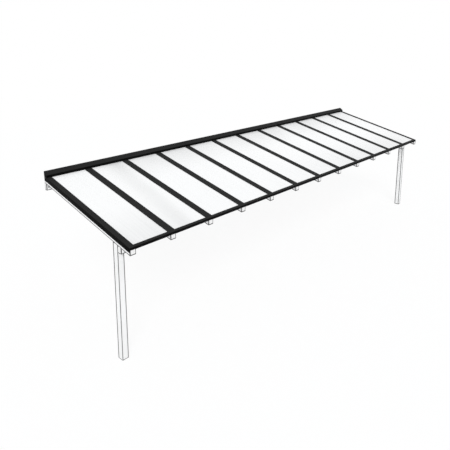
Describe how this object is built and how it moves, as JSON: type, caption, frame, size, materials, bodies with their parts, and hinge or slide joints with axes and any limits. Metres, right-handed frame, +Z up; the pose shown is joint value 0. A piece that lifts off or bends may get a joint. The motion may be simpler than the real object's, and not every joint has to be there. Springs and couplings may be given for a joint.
{
  "type": "attached patio cover",
  "caption": "Lean-to patio cover: opal multiwall sheets between dark aluminium glazing bars on white rafters, carried by a wall plate and a front beam on posts.",
  "frame": {"origin": "middle of the wall plate's back face, on the house wall", "axes": "+X along the wall to the right as seen from the garden, +Y into the wall, -Y out and down the roof, +Z up"},
  "size_m": [11.996, 3, 3.2061],
  "materials": {
    "white_timber": "white paint, satin",
    "anthracite_aluminium": "anthracite powder coat, satin",
    "galvanised_steel": "galvanised, dull",
    "opal_sheet": "opal white, translucent, satin"
  },
  "bodies": {
    "root": {"wall_plate": "white_timber", "rafter_01": "white_timber", "rafter_02": "white_timber", "rafter_03": "white_timber", "rafter_04": "white_timber", "rafter_05": "white_timber", "rafter_06": "white_timber", "rafter_07": "white_timber", "rafter_08": "white_timber", "rafter_09": "white_timber", "rafter_10": "white_timber", "rafter_11": "white_timber", "rafter_12": "white_timber", "rafter_13": "white_timber", "front_beam": "white_timber", "post_left": "white_timber", "post_right": "white_timber", "roof_sheet_01": "opal_sheet", "roof_sheet_02": "opal_sheet", "roof_sheet_03": "opal_sheet", "roof_sheet_04": "opal_sheet", "roof_sheet_05": "opal_sheet", "roof_sheet_06": "opal_sheet", "roof_sheet_07": "opal_sheet", "roof_sheet_08": "opal_sheet", "roof_sheet_09": "opal_sheet", "roof_sheet_10": "opal_sheet", "roof_sheet_11": "opal_sheet", "roof_sheet_12": "opal_sheet", "glazing_bar_01": "anthracite_aluminium", "glazing_bar_02": "anthracite_aluminium", "glazing_bar_03": "anthracite_aluminium", "glazing_bar_04": "anthracite_aluminium", "glazing_bar_05": "anthracite_aluminium", "glazing_bar_06": "anthracite_aluminium", "glazing_bar_07": "anthracite_aluminium", "glazing_bar_08": "anthracite_aluminium", "glazing_bar_09": "anthracite_aluminium", "glazing_bar_10": "anthracite_aluminium", "glazing_bar_11": "anthracite_aluminium", "side_bar_left": "anthracite_aluminium", "side_bar_right": "anthracite_aluminium", "front_profile": "anthracite_aluminium", "wall_flashing": "anthracite_aluminium", "beam_bolt_left_upper": "galvanised_steel", "beam_bolt_left_lower": "galvanised_steel", "beam_bolt_right_upper": "galvanised_steel", "beam_bolt_right_lower": "galvanised_steel"}
  },
  "joints": []
}
